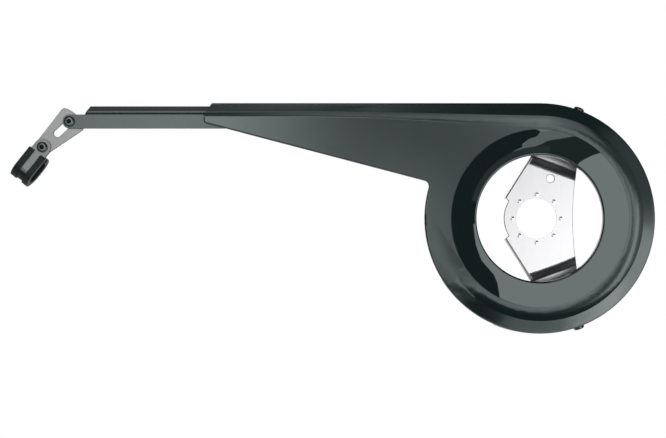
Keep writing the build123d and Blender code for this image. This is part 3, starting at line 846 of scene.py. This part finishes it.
def overhead():
    """High lamp that keeps the floor pale, and that gloss doesn't mirror."""
    data = bpy.data.lights.new("overhead", "SUN")
    data.energy = SUN_POWER
    data.angle = SUN_SPREAD
    made = linked("overhead", data)
    made.location = SUN_PLACE
    made.visible_glossy = False


def soft_box(name, place, aim, size, radiance):
    """Rectangular area light at a place, aimed at a point."""
    data = bpy.data.lights.new(name, "AREA")
    data.shape = "RECTANGLE"
    data.size, data.size_y = size
    data.energy = radiance * pi * size[0] * size[1]
    made = linked(name, data)
    made.location = place
    made.rotation_euler = (Vector(aim) - Vector(place)).to_track_quat("-Z", "Y").to_euler()


camera()
white_world()
dim_room()
pale_floor()
bpy.context.scene.view_settings.view_transform = "Standard"

# Each card's radiance, and how far it stands in front of the others
for name, outline, radiance, forward in (
        ("right_panel", RIGHT_PANEL, 2.6, 0.0),
        ("tongue_panel", TONGUE_PANEL, 1.6, 0.01),
        ("patch_flag", PATCH_FLAG, 0.15, 0.02),
        ("inner_line", arc_outline(*INNER_LINE, *INNER_TURN), 0.3, 0.03),
        ("far_right_high", FAR_RIGHT_HIGH, 0.45, 0.0),
        ("far_right_middle", FAR_RIGHT_MIDDLE, 1.0, 0.0),
        ("far_right_panel", FAR_RIGHT_PANEL, 3.0, 0.0),
        ("low_right_panel", LOW_RIGHT_PANEL, 4.6, 0.0),
        ("left_panel", LEFT_PANEL, 3.3, 0.0),
        ("left_middle", LEFT_MIDDLE, 3.6, 0.0),
        ("left_soft", LEFT_SOFT, 2.4, 0.0),
        ("left_faint", LEFT_FAINT, 0.45, 0.0),
        ("low_left_panel", LOW_LEFT_PANEL, 2.6, 0.0),
        ("far_left_panel", FAR_LEFT_PANEL, 0.7, 0.0),
        ("far_left_low", FAR_LEFT_LOW, 0.35, 0.0),
        ("low_panel", LOW_PANEL, 1.2, 0.0),
        ("deep_panel", DEEP_PANEL, 1.5, 0.0),
        ("high_panel", HIGH_PANEL, 2.0, 0.0)):
    card(name, outline, radiance, forward)

# The lamps: one for the floor, one for the upper bands and two for the back
overhead()
for name, place, aim, size, radiance in (
        ("high_left", (-0.7, -1.2, 3.0), (-0.7, -1.2, 0), (1.1, 1.0), 0.5),
        ("rear_left", (-1.6, 2.4, 1.6), (-0.1, 0, 0), (1.6, 1.6), 3.0),
        ("rear_right", (1.8, 2.0, 1.0), (0.0, 0, 0), (1.4, 1.4), 3.0)):
    soft_box(name, place, aim, size, radiance)

# The finishes
SHELL = moulded_plastic("satin_black", dark=(0.0015, 0.008, 0.0075), light=(0.0025, 0.009, 0.0085),
                        rough=(0.16, 0.2), grain_depth=0.000002, specular=0.8)
GLOSS = moulded_plastic("gloss_black", dark=(0.003, 0.0085, 0.0082), light=(0.004, 0.0095, 0.0092),
                        rough=(0.005, 0.012), grain_depth=0.0, specular=0.8)
STEEL_LINK = sheet_metal("rolled_stainless", dark=(0.225, 0.23, 0.23), light=(0.27, 0.275, 0.275),
                         rough=(0.34, 0.42), turn=radians(42), line_depth=0.000003)
STEEL_BAND = sheet_metal("dull_stainless", dark=(0.145, 0.17, 0.163), light=(0.22, 0.25, 0.24),
                         rough=(0.35, 0.45), turn=radians(-40), line_depth=0.000004)
STEEL_PLATE = sheet_metal("bright_steel", dark=(0.54, 0.54, 0.55), light=(0.60, 0.60, 0.61),
                          rough=(0.26, 0.32), turn=radians(90), line_depth=0.000002)
# Painted shade: near-black steel for the sheared sides and their bevels, standing in for the dark
# lines along the sheets' edges
EDGE_SHADE_PAINT = sheet_metal("painted_edge_shade", dark=(0.010, 0.011, 0.011), light=(0.022, 0.023, 0.023),
                        rough=(0.5, 0.65), turn=0.0, line_depth=0.00001)
ARM = moulded_plastic("arm_black", dark=(0.0015, 0.008, 0.0075), light=(0.0025, 0.009, 0.0085),
                      rough=(0.18, 0.22), grain_depth=0.000002, specular=0.68)
RUBBER = moulded_plastic("black_rubber", dark=(0.004, 0.009, 0.008), light=(0.008, 0.013, 0.012),
                         rough=(0.4, 0.6), grain_depth=0.00003, specular=0.25)
BLACK_STEEL = moulded_plastic("black_oxide", dark=(0.004, 0.005, 0.005),
                              light=(0.007, 0.008, 0.008), rough=(0.12, 0.18),
                              grain_depth=0.000004, specular=0.8)
ZINC = sheet_metal("zinc_plate", dark=(0.5, 0.51, 0.52), light=(0.6, 0.61, 0.62),
                   rough=(0.25, 0.35), turn=0.3, line_depth=0.00001)

for name, finish in (
        ("guard_shell", SHELL), ("inner_ring", GLOSS), ("extension_arm", ARM),
        ("link_plate", STEEL_LINK), ("clamp_band", STEEL_BAND), ("clamp_rubber", RUBBER),
        ("bb_bracket", STEEL_PLATE)):
    dress(name, finish)
for name in ("link_screw", "clamp_screw", "rim_screw_top", "rim_screw_bottom"):
    dress(name, BLACK_STEEL)
for name in ("link_nut", "clamp_nut", "rim_nut_top", "rim_nut_bottom", "link_washer",
             "clamp_washer"):
    dress(name, ZINC)

# Sheet parts, moulded parts and the gloss ring
piece = stamped("bb_bracket", "folded_bracket", (STEEL_PLATE, EDGE_SHADE_PAINT), PLATE_SHEET,
                burr=0.0004, fold=PLATE_SHEET)
finished(piece, "bb_bracket", "guard")
piece = stamped("link_plate", "stamped_link", (STEEL_LINK, EDGE_SHADE_PAINT), LINK_SHEET, burr=0.0003)
finished(piece, "link_plate", "link")
piece = stamped("clamp_band", "bent_band", (STEEL_BAND, EDGE_SHADE_PAINT), BAND_SHEET, burr=0.0002)
finished(piece, "clamp_band", "clamp")
piece = softened("clamp_rubber", "rubber_sleeve", RUBBER, radius=0.0006, segments=3)
finished(piece, "clamp_rubber", "clamp")
piece = softened("extension_arm", "moulded_arm", ARM, radius=0.0004, segments=2)
finished(piece, "extension_arm", "arm")
piece = softened("guard_shell", "moulded_shell", SHELL, radius=0.0005, segments=3,
                 shaping=eased_shell)
finished(piece, "guard_shell", "guard")
finished(painted(gloss_ring(), GLOSS), "inner_ring", "guard")

# Fasteners, on the places and axes of their CAD nodes
for node, body, direction in (
        ("link_screw", "link_fastener", OUTBOARD), ("clamp_screw", "clamp", OUTBOARD),
        ("rim_screw_top", "guard", TOP_RIM), ("rim_screw_bottom", "guard", BOTTOM_RIM)):
    origin, length = span(node, direction)
    seat = origin + direction * (length - HEAD_HIGH)
    piece = put(button_screw(length - HEAD_HIGH), "domed_" + node, seat, direction)
    finished(painted(piece, BLACK_STEEL), node, body)
for node, body, direction in (
        ("link_nut", "link_fastener", INBOARD), ("clamp_nut", "clamp", INBOARD),
        ("rim_nut_top", "guard", TOP_RIM), ("rim_nut_bottom", "guard", BOTTOM_RIM)):
    origin, length = span(node, direction)
    piece = put(hex_nut(length), "chamfered_" + node, origin, direction)
    finished(painted(piece, ZINC), node, body)
for node, body in (("link_washer", "link_fastener"), ("clamp_washer", "clamp")):
    origin, length = span(node, INBOARD)
    piece = put(flat_washer(length), "flat_" + node, origin, INBOARD)
    finished(painted(piece, ZINC), node, body)
